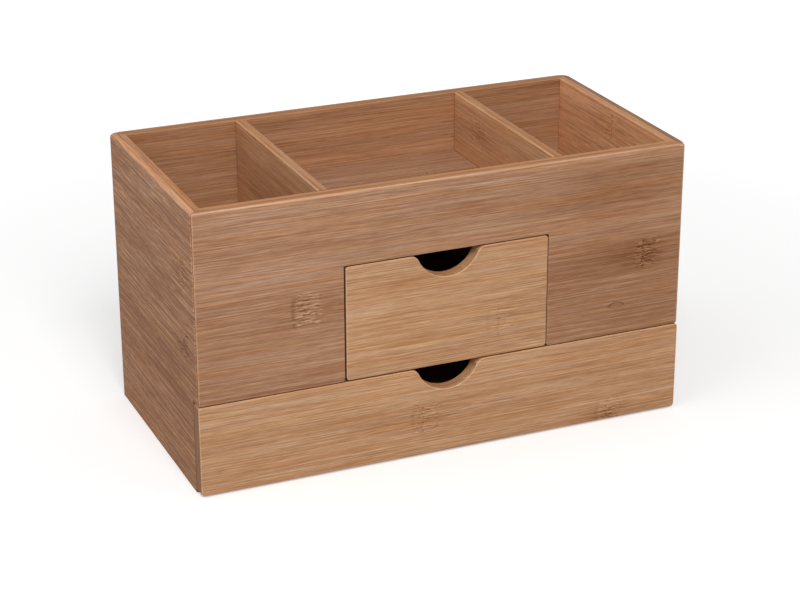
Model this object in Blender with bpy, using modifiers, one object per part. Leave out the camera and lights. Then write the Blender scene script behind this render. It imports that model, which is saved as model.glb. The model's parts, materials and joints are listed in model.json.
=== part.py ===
"""Bamboo vanity organizer: three open compartments over a small and a full-width drawer.

Metres, +Z up. The origin is the centre of the footprint, on the surface that the
organizer stands on. +X runs along its width, and the drawers pull out towards -Y.
"""
import math

import bmesh
import bpy

# Casing: overall size, and the board that its walls and both drawer fronts are cut from.
WIDTH = 0.250
DEPTH = 0.127
HEIGHT = 0.140
BOARD = 0.007
BASE_THICKNESS = 0.006
SHELF_THICKNESS = 0.006
DIVIDER_THICKNESS = 0.005
CENTRE_FLOOR_THICKNESS = 0.005

# Front: where the lower drawer ends, and the opening that the upper drawer fills.
SEAM_HEIGHT = 0.0462
OPENING_WIDTH = 0.1048
OPENING_TOP = 0.1042

# Drawers.
DRAWER_WALL = 0.0065
DRAWER_BOTTOM = 0.003
BOTTOM_RISE = 0.003
GROOVE_DEPTH = 0.0025
NOTCH_WIDTH = 0.039
NOTCH_DEPTH = 0.0125
NOTCH_SHOULDER = 0.005
GUIDE_WIDTH = 0.0049
GUIDE_HEIGHT = 0.010

# Clearances. A joint gap is left between glued faces, and a reveal round each drawer front.
JOINT_GAP = 0.0003
REVEAL = 0.0006
FRONT_INSET = 0.00025
FLOOR_CLEARANCE = 0.0008
BOX_INSET = 0.0005
GUIDE_CLEARANCE = 0.0005
SIDE_CLEARANCE = 0.001
BACK_CLEARANCE = 0.002
BACK_STOP_GAP = 0.0004
CUT_OVERRUN = 0.004

# Rounded edges and the steps that draw them.
CORNER_ROUND = 0.0018
EDGE_ROUND = 0.0010
FINE_ROUND = 0.0006
ROUND_LIMIT_SHARE = 0.3
RIM_ROUND_SHARE = 0.6
ROUND_SEGMENTS = 3
CORNER_STEPS = 3
NOTCH_STEPS = 18
SHOULDER_STEPS = 8

# Tolerances of the mesh clean-up.
WELD_DISTANCE = 0.000001
FLAT_ANGLE = math.radians(0.5)

# Planes and levels that several pieces share.
FRONT_FACE = -DEPTH / 2
FRONT_INSIDE = FRONT_FACE + BOARD
BACK_INSIDE = DEPTH / 2 - BOARD
WALL_INSIDE = WIDTH / 2 - BOARD
PANEL_BOTTOM = SEAM_HEIGHT + REVEAL / 2
SHELF_TOP = PANEL_BOTTOM + SHELF_THICKNESS
INNER_WIDTH = 2 * (WALL_INSIDE - JOINT_GAP)
UPPER_FRONT_WIDTH = OPENING_WIDTH - 2 * REVEAL
UPPER_BOX_WIDTH = UPPER_FRONT_WIDTH - 2 * BOX_INSET
GUIDE_INSIDE = UPPER_BOX_WIDTH / 2 + GUIDE_CLEARANCE
DIVIDER_INSIDE = GUIDE_INSIDE + GUIDE_WIDTH + JOINT_GAP
WALL_CORNER = min(CORNER_ROUND, BOARD * ROUND_LIMIT_SHARE)

# Colours of the bamboo, and its satin lacquer.
WALL_BROWN = (0.37, 0.205, 0.105)
PANEL_BROWN = (0.43, 0.24, 0.125)
DRAWER_TAN = (0.50, 0.30, 0.155)
INSIDE_BROWN = (0.34, 0.19, 0.10)
PLY_BROWN = (0.40, 0.25, 0.14)
LACQUER_ROUGHNESS = 0.45


def empty_scene():
    """Remove every object, so that the model starts from nothing."""
    for old in list(bpy.data.objects):
        bpy.data.objects.remove(old, do_unlink=True)


def new_collection(name):
    """A collection of this name in the scene."""
    made = bpy.data.collections.new(name)
    bpy.context.scene.collection.children.link(made)
    return made


def finish(piece, colour):
    """Give a piece its own bamboo material."""
    material = bpy.data.materials.new(piece.name + "_bamboo")
    material.use_nodes = True
    shader = material.node_tree.nodes["Principled BSDF"]
    shader.inputs["Base Color"].default_value = (*colour, 1)
    shader.inputs["Roughness"].default_value = LACQUER_ROUGHNESS
    shader.inputs["Metallic"].default_value = 0
    piece.data.materials.append(material)


def place(name, mesh, where, centre, carrier=None, turn=(0, 0, 0)):
    """Make an object of a mesh, with its origin at a world point, on an optional carrier."""
    piece = bpy.data.objects.new(name, mesh)
    where.objects.link(piece)
    piece.rotation_euler = turn
    piece.location = centre
    if carrier is not None:
        piece.parent = carrier
        piece.location = [world - held for world, held in zip(centre, carrier.location)]
    return piece


def box_mesh(name, size):
    """A box centred on its origin."""
    shape = bmesh.new()
    bmesh.ops.create_cube(shape, size=1)
    bmesh.ops.scale(shape, vec=size, verts=shape.verts)
    mesh = bpy.data.meshes.new(name)
    shape.to_mesh(mesh)
    shape.free()
    return mesh


def outline_mesh(name, points, thickness):
    """A flat outline as a solid plate, half its thickness above and below its plane."""
    curve = bpy.data.curves.new(name + "_outline", "CURVE")
    curve.dimensions = "2D"
    curve.fill_mode = "BOTH"
    curve.extrude = thickness / 2
    spline = curve.splines.new("POLY")
    spline.points.add(len(points) - 1)
    for knot, (across, along) in zip(spline.points, points):
        knot.co = (across, along, 0, 1)
    spline.use_cyclic_u = True
    holder = bpy.data.objects.new(name + "_outline", curve)
    bpy.context.scene.collection.objects.link(holder)
    evaluated = holder.evaluated_get(bpy.context.evaluated_depsgraph_get())
    mesh = bpy.data.meshes.new_from_object(evaluated)
    bpy.data.objects.remove(holder, do_unlink=True)
    bpy.data.curves.remove(curve)

    shape = bmesh.new()
    shape.from_mesh(mesh)
    bmesh.ops.remove_doubles(shape, verts=shape.verts, dist=WELD_DISTANCE)
    bmesh.ops.dissolve_limit(shape, angle_limit=FLAT_ANGLE, verts=shape.verts, edges=shape.edges)
    bmesh.ops.recalc_face_normals(shape, faces=shape.faces)
    shape.to_mesh(mesh)
    shape.free()
    mesh.name = name
    return mesh


def arc(centre, radius, start, end, steps):
    """Points along an arc, from one angle to the other."""
    angles = [start + (end - start) * step / steps for step in range(steps + 1)]
    return [(centre[0] + radius * math.cos(angle), centre[1] + radius * math.sin(angle))
            for angle in angles]


def round_edges(piece, radius, wanted):
    """Round the edges of a piece for which wanted(one end, other end) holds."""
    weights = piece.data.attributes.new("bevel_weight_edge", "FLOAT", "EDGE")
    corners = piece.data.vertices
    for edge in piece.data.edges:
        ends = [corners[index].co for index in edge.vertices]
        weights.data[edge.index].value = 1 if wanted(*ends) else 0
    bevel = piece.modifiers.new("rounded_edges", "BEVEL")
    bevel.limit_method = "WEIGHT"
    bevel.width = radius
    bevel.segments = ROUND_SEGMENTS
    bevel.use_clamp_overlap = False


def cut(piece, cutter):
    """Cut one solid out of a piece."""
    slot = piece.modifiers.new(cutter.name, "BOOLEAN")
    slot.operation = "DIFFERENCE"
    slot.object = cutter


def box_cutter(name, low, high, where):
    """A box-shaped cutter between two world corners."""
    size = [b - a for a, b in zip(low, high)]
    centre = [(a + b) / 2 for a, b in zip(low, high)]
    cutter = place(name, box_mesh(name, size), where, centre)
    cutter.hide_render = True
    cutter.display_type = "WIRE"
    return cutter


def board(name, low, high, colour, where, carrier=None, rounded=FINE_ROUND):
    """A plain board between two world corners, with its long upper edges rounded."""
    size = [b - a for a, b in zip(low, high)]
    centre = [(a + b) / 2 for a, b in zip(low, high)]
    piece = place(name, box_mesh(name, size), where, centre, carrier)
    run = 0 if size[0] > size[1] else 1
    top = size[2] / 2
    radius = min(rounded, min(size) * ROUND_LIMIT_SHARE)

    def long_upper_edge(one, other):
        level = min(one.z, other.z) > top - WELD_DISTANCE
        return level and abs(one[run] - other[run]) > size[run] / 2

    round_edges(piece, radius, long_upper_edge)
    finish(piece, colour)
    return piece


def mitred_outline(length):
    """Plan of a wall with both ends mitred: outer face on y = 0, inner face on y = BOARD."""
    shift = JOINT_GAP / math.sqrt(2)
    trim = math.asin(JOINT_GAP / (2 * WALL_CORNER))
    quarter = math.pi / 2
    left = arc((-length / 2 + WALL_CORNER, WALL_CORNER), WALL_CORNER,
               2.5 * quarter + trim, 3 * quarter, CORNER_STEPS)
    right = [(-across, along) for across, along in reversed(left)]
    inner = length / 2 - BOARD - shift
    return left + right + [(inner, BOARD), (-inner, BOARD)]


def mitred_wall(name, length, bottom, face, turn, colour, where):
    """An outer wall of the casing, from a bottom level up to the rim, with mitred ends."""
    tall = HEIGHT - bottom
    mesh = outline_mesh(name, mitred_outline(length), tall)
    piece = place(name, mesh, where, (*face, bottom + tall / 2), turn=(0, 0, turn))

    def rim_or_foot_edge(one, other):
        along_wall = abs(one.y - other.y) < BOARD / 2
        rim = min(one.z, other.z) > tall / 2 - WELD_DISTANCE
        foot = max(one.z, other.z) < -tall / 2 + WELD_DISTANCE and max(one.y, other.y) < BOARD / 2
        return along_wall and (rim or foot)

    round_edges(piece, min(EDGE_ROUND, WALL_CORNER * RIM_ROUND_SHARE), rim_or_foot_edge)
    finish(piece, colour)
    return piece


def notched_front_outline(wide, tall):
    """A drawer front seen from the front, with a round thumb notch in its upper edge."""
    reach = NOTCH_WIDTH / 2
    span = (reach ** 2 / NOTCH_DEPTH + NOTCH_DEPTH) / 2
    shoulder = min(NOTCH_SHOULDER, span / 2)
    bowl = span - shoulder
    half_turn = math.atan2(reach, span - NOTCH_DEPTH)
    up = math.pi / 2
    top = tall / 2
    left = arc((-reach, top - shoulder), shoulder, up, up - half_turn, SHOULDER_STEPS)
    middle = arc((0, top + bowl - NOTCH_DEPTH), bowl, -up - half_turn, -up + half_turn, NOTCH_STEPS)
    right = [(-across, along) for across, along in reversed(left)]
    corners = [(wide / 2, top), (wide / 2, -top), (-wide / 2, -top), (-wide / 2, top)]
    return left + middle[1:-1] + right + corners


def drawer_front(name, wide, bottom, top, carrier, where):
    """The visible front of a drawer, its face level with the casing's."""
    tall = top - bottom
    mesh = outline_mesh(name, notched_front_outline(wide, tall), BOARD)
    centre = (0, FRONT_FACE + BOARD / 2, (bottom + top) / 2)
    piece = place(name, mesh, where, centre, carrier, turn=(math.pi / 2, 0, 0))

    def face_edge(one, other):
        return min(one.z, other.z) > BOARD / 2 - WELD_DISTANCE

    round_edges(piece, min(EDGE_ROUND, BOARD * ROUND_LIMIT_SHARE), face_edge)
    finish(piece, DRAWER_TAN)
    return piece


def drawer(name, front_width, front_bottom, top, box_width, box_bottom, box_back, where, cutters):
    """A drawer: a front, two sides, a back, and a bottom held in a groove of all four."""
    carrier = bpy.data.objects.new(name + "_slide", None)
    carrier.location = (0, FRONT_INSIDE, box_bottom)
    where.objects.link(carrier)

    outside = box_width / 2
    inside = outside - DRAWER_WALL
    start = FRONT_INSIDE + JOINT_GAP
    back_face = box_back - DRAWER_WALL
    walls = [drawer_front(name + "_front", front_width, front_bottom, top, carrier, where)]
    for side, sign in (("left", -1), ("right", 1)):
        across = sorted((sign * inside, sign * outside))
        low = (across[0], start, box_bottom)
        high = (across[1], box_back, top)
        walls.append(board(f"{name}_{side}_side", low, high, DRAWER_TAN, where, carrier))
    low = (-inside + JOINT_GAP, back_face, box_bottom)
    high = (inside - JOINT_GAP, box_back, top)
    walls.append(board(name + "_back", low, high, DRAWER_TAN, where, carrier))

    groove_low = (-inside - GROOVE_DEPTH, FRONT_INSIDE - GROOVE_DEPTH, box_bottom + BOTTOM_RISE)
    groove_high = (inside + GROOVE_DEPTH, back_face + GROOVE_DEPTH,
                   groove_low[2] + DRAWER_BOTTOM + 2 * JOINT_GAP)
    groove = box_cutter(name + "_groove", groove_low, groove_high, cutters)
    for wall in walls:
        cut(wall, groove)
    low = [edge + JOINT_GAP for edge in groove_low]
    high = [edge - JOINT_GAP for edge in groove_high]
    board(name + "_bottom", low, high, PLY_BROWN, where, carrier, rounded=JOINT_GAP)


def casing(where, cutters):
    """The fixed part: four mitred walls, and the boards between them."""
    quarter = math.pi / 2
    front = mitred_wall("front_panel", WIDTH, PANEL_BOTTOM, (0, FRONT_FACE), 0, PANEL_BROWN, where)
    opening_low = (-OPENING_WIDTH / 2, FRONT_FACE - CUT_OVERRUN, PANEL_BOTTOM - CUT_OVERRUN)
    opening_high = (OPENING_WIDTH / 2, FRONT_INSIDE + CUT_OVERRUN, OPENING_TOP)
    cut(front, box_cutter("drawer_opening", opening_low, opening_high, cutters))
    mitred_wall("back_panel", WIDTH, 0, (0, DEPTH / 2), 2 * quarter, WALL_BROWN, where)

    seat_low = (-WIDTH / 2 - CUT_OVERRUN, FRONT_FACE - CUT_OVERRUN, -CUT_OVERRUN)
    seat_high = (WIDTH / 2 + CUT_OVERRUN, FRONT_INSIDE + JOINT_GAP, PANEL_BOTTOM)
    front_seat = box_cutter("lower_front_seat", seat_low, seat_high, cutters)
    for name, sign in (("left_side_panel", -1), ("right_side_panel", 1)):
        face = (sign * WIDTH / 2, 0)
        cut(mitred_wall(name, DEPTH, 0, face, sign * quarter, WALL_BROWN, where), front_seat)

    near = FRONT_INSIDE + JOINT_GAP
    far = BACK_INSIDE - JOINT_GAP
    half = INNER_WIDTH / 2
    board("base_panel", (-half, near, 0), (half, far, BASE_THICKNESS), INSIDE_BROWN, where)
    board("shelf", (-half, near, PANEL_BOTTOM), (half, far, SHELF_TOP), INSIDE_BROWN, where)

    standing = SHELF_TOP + JOINT_GAP
    divider_outside = DIVIDER_INSIDE + DIVIDER_THICKNESS
    guide_outside = GUIDE_INSIDE + GUIDE_WIDTH
    for side, sign in (("left", -1), ("right", 1)):
        across = sorted((sign * DIVIDER_INSIDE, sign * divider_outside))
        low = (across[0], near, standing)
        board(f"{side}_divider", low, (across[1], far, HEIGHT), PANEL_BROWN, where)
        across = sorted((sign * GUIDE_INSIDE, sign * guide_outside))
        low = (across[0], near, standing)
        high = (across[1], far, standing + GUIDE_HEIGHT)
        board(f"upper_drawer_{side}_guide", low, high, INSIDE_BROWN, where)
    reach = DIVIDER_INSIDE - JOINT_GAP
    high = (reach, far, OPENING_TOP + CENTRE_FLOOR_THICKNESS)
    board("centre_compartment_floor", (-reach, near, OPENING_TOP), high, INSIDE_BROWN, where)


def main():
    empty_scene()
    parts = new_collection("drawer_organizer")
    cutters = new_collection("cutters")
    casing(parts, cutters)
    drawer("upper_drawer", UPPER_FRONT_WIDTH, PANEL_BOTTOM, OPENING_TOP - REVEAL,
           UPPER_BOX_WIDTH, SHELF_TOP + JOINT_GAP, BACK_INSIDE - BACK_STOP_GAP, parts, cutters)
    drawer("lower_drawer", WIDTH - 2 * FRONT_INSET, FLOOR_CLEARANCE, SEAM_HEIGHT - REVEAL / 2,
           2 * (WALL_INSIDE - SIDE_CLEARANCE), BASE_THICKNESS + JOINT_GAP,
           BACK_INSIDE - BACK_CLEARANCE, parts, cutters)


main()
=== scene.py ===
# %% [markdown]
# # A bamboo organizer with two drawers
#
# The object stands on a bathroom shelf or a vanity table. It is glued up from thin bamboo boards:
# three open compartments at the top, a small drawer under the middle one, and a drawer as wide as
# the whole object underneath. The measured model already says where every board is and how both
# drawers slide. This lesson gives each board its real surface: edges eased by sandpaper, mitred
# corners with their fine seams, and bamboo with strips, fibres and knuckles.

# %% Load the measured model
import json
import math
import bmesh
import bpy
from mathutils import Matrix, Vector


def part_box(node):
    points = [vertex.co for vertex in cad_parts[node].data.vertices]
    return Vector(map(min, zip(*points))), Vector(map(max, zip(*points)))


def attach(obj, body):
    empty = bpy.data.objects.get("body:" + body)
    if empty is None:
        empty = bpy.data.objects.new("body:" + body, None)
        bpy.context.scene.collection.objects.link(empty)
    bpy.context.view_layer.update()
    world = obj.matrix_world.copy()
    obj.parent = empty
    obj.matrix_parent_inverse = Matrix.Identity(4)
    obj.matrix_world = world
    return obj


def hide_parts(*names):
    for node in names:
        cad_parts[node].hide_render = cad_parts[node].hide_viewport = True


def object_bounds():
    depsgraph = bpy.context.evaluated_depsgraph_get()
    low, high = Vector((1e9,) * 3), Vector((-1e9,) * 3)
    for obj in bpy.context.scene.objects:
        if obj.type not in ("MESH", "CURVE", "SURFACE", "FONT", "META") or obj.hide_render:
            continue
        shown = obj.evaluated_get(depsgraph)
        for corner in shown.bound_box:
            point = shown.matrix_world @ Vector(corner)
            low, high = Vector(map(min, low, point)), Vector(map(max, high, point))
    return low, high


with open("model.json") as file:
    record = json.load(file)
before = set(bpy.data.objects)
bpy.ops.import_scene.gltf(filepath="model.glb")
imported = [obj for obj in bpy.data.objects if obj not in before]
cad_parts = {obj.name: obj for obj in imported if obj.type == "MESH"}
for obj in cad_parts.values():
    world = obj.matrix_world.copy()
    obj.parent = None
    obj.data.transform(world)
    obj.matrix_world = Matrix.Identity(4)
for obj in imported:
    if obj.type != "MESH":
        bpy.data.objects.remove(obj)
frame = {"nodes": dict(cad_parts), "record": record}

model_low, model_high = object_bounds()
print("boards:", len(frame["nodes"]))
print("size in mm:", [round(1000 * (b - a), 1) for a, b in zip(model_low, model_high)])

# %% [markdown]
# ## Camera
#
# The camera comes first, because it says which surfaces need the most care. It stands in front of
# the object, a little to its left and above it. The lens is long, so that edges that are parallel
# on the object stay nearly parallel in the picture. The place, the angles and the lens were worked
# out once from where the object's seven visible corners fall.

# %% Place the camera
CAMERA_PLACE = (-0.3949, -0.9315, 0.4726)
CAMERA_TURN = math.radians(23.09)
CAMERA_TILT = math.radians(22.43)
CAMERA_ROLL = math.radians(-0.18)
CAMERA_LENS = 98.8


def place_in_scene(name, data):
    """An object for a mesh, a lamp or a camera, put into the scene."""
    made = bpy.data.objects.new(name, data)
    bpy.context.scene.collection.objects.link(made)
    return made


camera = place_in_scene("camera", bpy.data.cameras.new("camera"))
camera.data.lens = CAMERA_LENS
camera.location = CAMERA_PLACE
camera.rotation_euler = (math.pi / 2 - CAMERA_TILT, 0, -CAMERA_TURN)
camera.rotation_euler.rotate_axis("Z", CAMERA_ROLL)
bpy.context.scene.camera = camera
bpy.context.scene.view_settings.view_transform = "Standard"
print("camera distance in mm:", round(1000 * Vector(CAMERA_PLACE).length))

# %% [markdown]
# ## Helpers for node trees
#
# Materials and Geometry Nodes are both trees of nodes. Adding a node by hand takes three steps:
# make it, set its options, and feed its inputs. One helper does all three. An input is named by its
# label or its number, and is fed a plain value or what flows out of another node.
#
# Most nodes only do sums. So what flows out of a node can stand in one of Python's own sums, and
# each sign in such a sum adds the node that does it.

# %% Nodes and what flows out of them
class Flow:
    """What flows out of a node, a number or a vector. A sum with it adds the node that does it."""

    def __init__(self, socket):
        self.socket = socket
        self.tree = socket.id_data

    def __add__(self, other):
        return calc("ADD", self, other)

    def __sub__(self, other):
        return calc("SUBTRACT", self, other)

    def __rsub__(self, other):
        return calc("SUBTRACT", other, self)

    def __mul__(self, other):
        return calc("MULTIPLY", self, other)

    def __truediv__(self, other):
        return calc("DIVIDE", self, other)

    def __abs__(self):
        return calc("ABSOLUTE", self)


class Outputs:
    """All that flows out of a node, by label or number."""

    def __init__(self, node):
        self.sockets = node.outputs

    def __getitem__(self, key):
        return Flow(self.sockets[key])


def add(tree, kind, inputs=None, **options):
    """Add one node, set its options, feed its inputs, and give back what flows out of it."""
    made = tree.nodes.new(kind)
    for option, value in options.items():
        setattr(made, option, value)
    for key, value in (inputs or {}).items():
        if isinstance(value, Flow):
            tree.links.new(value.socket, made.inputs[key])
        else:
            made.inputs[key].default_value = value
    return Outputs(made)


print("node helper ready")

# %% Sums
def is_vector(value):
    """Whether a value has several parts, as a vector or a colour has."""
    return value.socket.type != "VALUE" if isinstance(value, Flow) else isinstance(value, tuple)


def calc(operation, *values):
    """One step of a sum. It is done with vectors if any of the values is one."""
    tree = next(value.tree for value in values if isinstance(value, Flow))
    if not any(is_vector(value) for value in values):
        return add(tree, "ShaderNodeMath", dict(enumerate(values)), operation=operation)[0]
    values = [(value,) * 3 if isinstance(value, (int, float)) else value for value in values]
    result = "Value" if operation in ("LENGTH", "DOT_PRODUCT") else "Vector"
    return add(tree, "ShaderNodeVectorMath", dict(enumerate(values)), operation=operation)[result]


def larger(first, second):
    """The larger one of two values."""
    return calc("MAXIMUM", first, second)


def split(vector):
    """The X, Y and Z parts of a vector."""
    return add(vector.tree, "ShaderNodeSeparateXYZ", {0: vector})


def join(**parts):
    """A vector from its X, Y and Z parts. A part that isn't given is 0."""
    return add(next(iter(parts.values())).tree, "ShaderNodeCombineXYZ", parts)[0]


print("sums ready")

# %% Smooth steps, colours and groups
def ease(value, start, end, low=0.0, high=1.0):
    """Turn a value between start and end into a smooth step from low to high."""
    inputs = {"Value": value, "From Min": start, "From Max": end, "To Min": low, "To Max": high}
    return add(value.tree, "ShaderNodeMapRange", inputs, interpolation_type="SMOOTHSTEP")[0]


def blend(share, under, over, mode="MIX"):
    """Lay one colour over another. The share is kept between 0 and 1."""
    inputs = {0: share, 6: under, 7: over}
    return add(share.tree, "ShaderNodeMix", inputs, data_type="RGBA", blend_type=mode)[2]


def new_group(name, inputs, outputs):
    """A group of shader nodes: its inputs with their usual values, its outputs with their kinds."""
    tree = bpy.data.node_groups.new(name, "ShaderNodeTree")
    for label, value in inputs.items():
        kind = "Float" if isinstance(value, float) else {3: "Vector", 4: "Color"}[len(value)]
        socket = tree.interface.new_socket(label, in_out="INPUT", socket_type="NodeSocket" + kind)
        socket.default_value = value
    for label, kind in outputs.items():
        tree.interface.new_socket(label, in_out="OUTPUT", socket_type="NodeSocket" + kind)
    return tree, add(tree, "NodeGroupInput")


def cleared(owner):
    """The empty node tree of a material or a world."""
    owner.use_nodes = True
    owner.node_tree.nodes.clear()
    return owner.node_tree


print("helpers ready")

# %% [markdown]
# ## Floor and light
#
# The object stands on a plain white floor that fades into a white background. The lamps stay at a
# level where a colour comes out about as it is written. The background is white only for rays that
# come from the camera or from a reflection, so it doesn't flood the object with light. The floor
# near the object is lit by the lamps and takes its shadow, and further out it fades to plain white.

# %% White surroundings
FILL_LIGHT = 0.43
WHITE = (1, 1, 1, 1)


def seen_rays(tree):
    """1 for a ray from the camera, or one that a shiny or clear surface sends on, and otherwise 0."""
    ray = add(tree, "ShaderNodeLightPath")
    return larger(ray["Is Camera Ray"], larger(ray["Is Glossy Ray"], ray["Is Transmission Ray"]))


def white_world():
    """Surroundings that look plain white and light the object softly."""
    world = bpy.data.worlds.new("studio")
    tree = cleared(world)
    strength = ease(seen_rays(tree), 0, 1, FILL_LIGHT, 1.0)
    sky = add(tree, "ShaderNodeBackground", {"Color": WHITE, "Strength": strength})
    add(tree, "ShaderNodeOutputWorld", {"Surface": sky[0]})
    return world


bpy.context.scene.world = white_world()
print("fill light:", FILL_LIGHT)

# %% The floor
FLOOR_COLOUR = (0.80, 0.80, 0.80, 1)
FLOOR_GLOW = (0.30, 1.0)
FLOOR_FADE = (0.25, 1.1)
FLOOR_REACH = 6.0
FLOOR_DROP = 0.0001


def white_floor():
    """A surface that shows shadows near the object and glows plain white further out."""
    made = bpy.data.materials.new("white_floor")
    tree = cleared(made)
    away = calc("LENGTH", add(tree, "ShaderNodeTexCoord")["Object"])
    glow = ease(away, *FLOOR_FADE, *FLOOR_GLOW) * seen_rays(tree)
    lit = add(tree, "ShaderNodeBsdfDiffuse", {"Color": FLOOR_COLOUR})
    shine = add(tree, "ShaderNodeEmission", {"Color": WHITE, "Strength": glow})
    both = add(tree, "ShaderNodeAddShader", {0: lit[0], 1: shine[0]})
    add(tree, "ShaderNodeOutputMaterial", {"Surface": both[0]})
    return made


def flat_square(name, reach, height, finish):
    """A level square round the origin."""
    mesh = bpy.data.meshes.new(name)
    corners = [(-reach, -reach), (reach, -reach), (reach, reach), (-reach, reach)]
    mesh.from_pydata([(x, y, height) for x, y in corners], [], [(0, 1, 2, 3)])
    mesh.materials.append(finish)
    return place_in_scene(name, mesh)


floor = flat_square("floor", FLOOR_REACH, -FLOOR_DROP, white_floor())
print("floor reaches out, in m:", FLOOR_REACH)

# %% The lamps
SOFTBOXES = (
    ("front_softbox", (-0.35, -1.55, 1.55), 0.9, 28),
    ("side_softbox", (-1.3, -0.3, 1.5), 1.4, 7),
)


def softbox(name, place, size, power):
    """A square lamp that faces the middle of the object: its side in m and its power in W."""
    lamp = bpy.data.lights.new(name, "AREA")
    lamp.size = size
    lamp.energy = power
    holder = place_in_scene(name, lamp)
    holder.location = place
    middle = (model_low + model_high) / 2
    holder.rotation_euler = (Vector(place) - middle).to_track_quat("Z", "Y").to_euler()
    print(f"{name}: {power} W")


for row in SOFTBOXES:
    softbox(*row)

# %% [markdown]
# ## Bamboo
#
# A bamboo board is not sawn from a log. Flat strips, about 19 mm wide, are glued side by side, and
# two such layers lie on each other. The strips are steamed to a light brown. Each one has its own
# tone, fine fibres run all along it, and here and there it crosses a knuckle of the cane, where the
# fibres are short and ragged.
#
# A picture of bamboo wrapped round a board would show the same fibres on its face and on its
# edge. The material is made as solid wood instead: every point in space has its colour, and a
# board shows whatever its surfaces cut through. So the strips run on over the rim, and the two
# layers show there as two bands.
#
# The pattern works in millimetres, in the board's own directions: along the fibres, across the
# strips, and from the outer face into the board.

# %% Turn the object's directions into the board's
MM_PER_M = 1000.0


def third_axis(first, second):
    """The direction that is left of X, Y and Z."""
    return ({"X", "Y", "Z"} - {first, second}).pop()


def board_place(tree, along, across, outer_face):
    """Where a point lies in its board, in mm: along the fibres, across the strips, and inwards."""
    parts = split(add(tree, "ShaderNodeTexCoord")["Object"] * MM_PER_M)
    depth = abs(parts[third_axis(along, across)] - outer_face * MM_PER_M)
    return join(X=parts[along], Y=parts[across], Z=depth)


print("board directions ready")

# %% [markdown]
# A knuckle fills one strip from edge to edge and is about 16 mm long. One end of it is a soft dark
# scar, slightly bowed, where a leaf sheath grew. Beside its middle a row of fibre bundles ends in
# small dark dots. The fibres on both sides of it are a little darker and redder. One group of nodes
# gives these masks for a knuckle at a given place. All of them end a few millimetres inside the
# board, so a knuckle on one face doesn't show on the other.

# %% The patch, the scar and the dots
PATCH_FADE = (1.15, 0.60)
PATCH_WOBBLE = 0.7
WOBBLE_SIZE = 3.5
SCAR_BOW = 1.4
SCAR_WIDTH = 1.7
DOT_ROW = 1.6
DOT_SPACING = 2.6
DOT_SCATTER = 0.5
DOT_SIZE = (0.25, 0.12)


def ragged_patch(place, share):
    """A soft box with wavy sides. Share is 1 at the knuckle's rim in each direction."""
    size = {"Vector": place, "Scale": 1 / WOBBLE_SIZE, "Detail": 1.0}
    wobble = (add(place.tree, "ShaderNodeTexNoise", size)[1] - 0.5) * PATCH_WOBBLE
    sides = split(abs(share + wobble))
    x, y, z = (ease(sides[axis], *PATCH_FADE) for axis in "XYZ")
    return x * y * z


def bowed_scar(along, across_share):
    """A soft line across the strip, where the knuckle starts."""
    return ease(abs(along - across_share * across_share * SCAR_BOW), SCAR_WIDTH, 0.0)


def row_of_dots(offset, along):
    """Small dots in one row across the strip."""
    cells = {"Vector": offset + (DOT_ROW + DOT_SPACING / 2, 0, 0), "Scale": 1 / DOT_SPACING,
             "Randomness": DOT_SCATTER}
    dots = add(offset.tree, "ShaderNodeTexVoronoi", cells, voronoi_dimensions="2D")["Distance"]
    return ease(dots, *DOT_SIZE) * calc("LESS_THAN", abs(along + DOT_ROW), DOT_SPACING / 2)


print("dots across a strip are apart, in mm:", DOT_SPACING)

# %% All masks of a knuckle
KNUCKLE_REACH = (7.5, 9.0, 3.4)
STRIP_SIDE_FADE = (1.0, 0.7)
TAIL_REACH = (4.5, 1.0, 1.3)
MASKS = ("patch", "scar", "dots", "tail")


def knuckle_masks():
    """A group that gives a knuckle's patch, its scar, its dots, and the shade around it."""
    usual = {"place": (0, 0, 0), "centre": (0, 0, 0), "reach": KNUCKLE_REACH}
    tree, given = new_group("knuckle_masks", usual, dict.fromkeys(MASKS, "Float"))
    offset = given["place"] - given["centre"]
    share = offset / given["reach"]
    along, shares = split(offset)["X"], split(share)
    inside = ease(larger(abs(shares["Y"]), abs(shares["Z"])), *STRIP_SIDE_FADE)
    scar = bowed_scar(along + split(given["reach"])["X"], shares["Y"])
    add(tree, "NodeGroupOutput", {
        "patch": ragged_patch(given["place"], share), "scar": scar * inside,
        "dots": row_of_dots(offset, along) * inside,
        "tail": ease(calc("LENGTH", share / TAIL_REACH), 1.0, 0.0)})
    return tree


KNUCKLE = knuckle_masks()
print("knuckle nodes:", len(KNUCKLE.nodes))

# %% [markdown]
# The bamboo itself is one more group. It first finds which strip and which layer a point is in,
# and draws a few random numbers for that strip. With them the strip gets its tone and its own
# piece of the fibre pattern. Two thin glue lines, between strips and between layers, come from the
# same sums.

# %% Strips and layers
STRIP_WIDTH = 19.0
LAYER_THICKNESS = 3.4
GLUE_LINE = 0.16


def strip_and_layer(given):
    """A strip's tone and random draws, how near a glue line is, and whether the layer is inner."""
    parts = split(given["place"])
    strip = (parts["Y"] - given["first_strip"]) / STRIP_WIDTH
    layer = parts["Z"] / LAYER_THICKNESS
    cell = join(X=calc("FLOOR", strip), Y=calc("FLOOR", layer), Z=given["seed"])
    luck = add(cell.tree, "ShaderNodeTexWhiteNoise", {"Vector": cell}, noise_dimensions="3D")
    glue = 0.0
    for value, size in ((strip, STRIP_WIDTH), (layer, LAYER_THICKNESS)):
        glue = larger(ease(calc("PINGPONG", value, 0.5) * size, GLUE_LINE, 0.0), glue)
    return luck["Value"], luck["Color"], glue, calc("MINIMUM", calc("FLOOR", layer), 1.0)


print("strip width in mm:", STRIP_WIDTH)

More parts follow.
